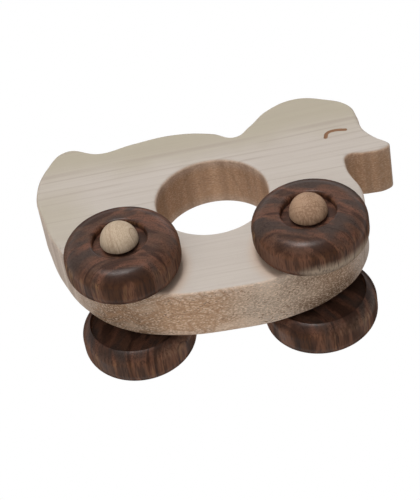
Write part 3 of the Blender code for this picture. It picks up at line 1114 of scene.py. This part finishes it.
# Stage
FLOOR_DROP = 0.05 * MM
FLOOR_RINGS = 24
FLOOR_SIDES = 96
FLOOR_FADE_START = 0.35
FLOOR_NEARBY = 40.0 * MM
FLOOR_GLOW = 0.2
WHITE = (1.0, 1.0, 1.0, 1.0)
# Steps by direction: soft light to the duck's left, its share to the front, and mirroring upwards
SKY_TURN = (-0.3, 0.3)
SKY_LEAN = (-0.8, 0.8, 1.1, 0.9)
SKY_MIRRORED = (0.0, 0.5)
CAMERA_PLACE = (0.01902, -0.42841, -0.45159)
CAMERA_TURN = (138.8644, 4.0757, 7.7920)
CAMERA_CLIP = 10.0 * MM
LAMPS = {
    "key": Lamp((-0.30, -0.74, -0.60), 0.80, shine=False),
    "front": Lamp((-0.03, -0.88, -0.06), 0.25, shine=False),
    "spark": Lamp((-0.14, -0.88, -0.06), 0.32, soft=False),
    "top": Lamp((0.10, -0.10, 1.10), 0.90),
    "fill": Lamp((-0.45, 0.85, 0.50), 0.80),
}


def floor_mesh(name, radius):
    """A round flat floor: a grid of distance from the middle and way round."""
    skin = Skin()
    distance = np.linspace(0.0, radius, FLOOR_RINGS + 1)
    drawing = distance[:, None, None] * circle(FLOOR_SIDES)
    points = np.concatenate([drawing, np.full((*drawing.shape[:2], 1), -FLOOR_DROP)], axis=2)
    skin.grid(points, np.broadcast_to((0.0, 0.0, 1.0), points.shape))
    return skin.mesh(name)


def floor_material(settings):
    """Plain pale floor that only a camera above it sees; it keeps the toy's shadow and fades out."""
    material, sheet = new_material("plain_floor")
    distance = sheet.measure(sheet.add("ShaderNodeTexCoord").outputs["Object"])
    faded = sheet.step(distance, FLOOR_FADE_START * settings.floor_radius, settings.floor_radius)
    below = sheet.add("ShaderNodeNewGeometry").outputs["Backfacing"]
    seen = sheet.add("ShaderNodeLightPath").outputs["Is Camera Ray"]
    gone = sheet.math("MAXIMUM", faded, below)
    gone = sheet.math("MAXIMUM", gone, sheet.math("SUBTRACT", 1.0, seen))
    nearby = {"Color": opaque(settings.floor), "Distance": FLOOR_NEARBY}
    shaded = sheet.add("ShaderNodeAmbientOcclusion", nearby).outputs["Color"]
    plain = sheet.add("ShaderNodeBsdfDiffuse", {"Color": shaded}).outputs[0]
    glow = sheet.add("ShaderNodeEmission", {"Strength": FLOOR_GLOW}).outputs[0]
    plain = sheet.add("ShaderNodeAddShader", {0: plain, 1: glow}).outputs[0]
    clear = sheet.add("ShaderNodeBsdfTransparent").outputs[0]
    mixed = sheet.add("ShaderNodeMixShader", {0: gone, 1: plain, 2: clear}).outputs[0]
    sheet.add("ShaderNodeOutputMaterial", {"Surface": mixed})
    return material


def light_world(near, far):
    """Soft light from all round, brighter from the duck's left, and a white background.

    The camera sees the background, also through glass, and gloss mirrors it from above.
    """
    world = bpy.data.worlds.get("studio") or bpy.data.worlds.new("studio")
    bpy.context.scene.world = world
    world.use_nodes = True
    sheet = NodeSheet(world.node_tree)
    x, y, z = sheet.parts(sheet.add("ShaderNodeTexCoord").outputs["Generated"])
    soft = sheet.product(sheet.step(y, *SKY_TURN, near, far), sheet.step(x, *SKY_LEAN))
    path = sheet.add("ShaderNodeLightPath").outputs
    mirrored = sheet.product(path["Is Glossy Ray"], sheet.step(z, *SKY_MIRRORED))
    seen = sheet.math("MAXIMUM", path["Is Camera Ray"], path["Is Transmission Ray"])
    seen = sheet.math("MAXIMUM", seen, mirrored)
    level = sheet.add("ShaderNodeMapRange", {0: seen, 3: soft, 4: 1.0}).outputs[0]
    background = sheet.add("ShaderNodeBackground", {"Color": WHITE, "Strength": level}).outputs[0]
    sheet.add("ShaderNodeOutputWorld", {"Surface": background})


def add_lamp(name, lamp, power):
    """A soft square lamp that points at the toy."""
    light = bpy.data.lights.new(name, "AREA")
    light.energy = power
    light.size = lamp.size
    obj = put_in_scene(name, light)
    obj.visible_diffuse = lamp.soft
    obj.visible_glossy = lamp.shine
    obj.location = lamp.place
    target = (cad_box[0] + cad_box[1]) / 2.0
    obj.rotation_euler = (target - obj.location).to_track_quat("-Z", "Y").to_euler()


class DUCK_OT_stage(bpy.types.Operator):
    """Set a plain pale floor, soft lamps and the camera"""

    bl_idname = "duck.stage"
    bl_label = "Stage"

    def execute(self, context):
        scene = context.scene
        settings = scene.duck_stage
        mesh = floor_mesh("floor", settings.floor_radius)
        mesh.materials.append(floor_material(settings))
        floor = put_in_scene("floor", mesh)
        light_world(settings.near_sky, settings.far_sky)
        for name, lamp in LAMPS.items():
            add_lamp(name, lamp, getattr(settings, name))
        camera = bpy.data.cameras.new("camera")
        camera.lens = settings.lens
        camera.clip_start = CAMERA_CLIP
        viewer = put_in_scene("camera", camera)
        viewer.location = CAMERA_PLACE
        viewer.rotation_euler = [math.radians(angle) for angle in CAMERA_TURN]
        scene.camera = viewer
        scene.view_settings.view_transform = "Standard"
        return {"FINISHED"}


class DUCK_PT_pieces(bpy.types.Panel):
    """Lists what the duck is made of"""

    bl_idname = "DUCK_PT_pieces"
    bl_label = "Wooden duck"
    bl_space_type = "VIEW_3D"
    bl_region_type = "UI"
    bl_category = "Duck"

    def draw(self, context):
        for operator in OPERATORS:
            self.layout.operator(operator.bl_idname)


SETTINGS = {
    "duck_board": DuckBoardSettings,
    "duck_wheels": WheelSettings,
    "duck_pegs": PegSettings,
    "duck_stage": StageSettings,
}
OPERATORS = (DUCK_OT_board, DUCK_OT_wheels, DUCK_OT_pegs, DUCK_OT_stage)
CLASSES = (*SETTINGS.values(), *OPERATORS, DUCK_PT_pieces)


def register():
    """Add the settings, the operators and the panel to Blender."""
    for kind in CLASSES:
        bpy.utils.register_class(kind)
    for name, group in SETTINGS.items():
        setattr(bpy.types.Scene, name, bpy.props.PointerProperty(type=group))


def unregister():
    """Take the panel, the operators and the settings out of Blender."""
    for name in SETTINGS:
        delattr(bpy.types.Scene, name)
    for kind in reversed(CLASSES):
        bpy.utils.unregister_class(kind)


def main():
    """Make every piece and the stage."""
    register()
    bpy.ops.duck.board()
    bpy.ops.duck.wheels()
    bpy.ops.duck.pegs()
    bpy.ops.duck.stage()


if __name__ == "__main__":
    main()
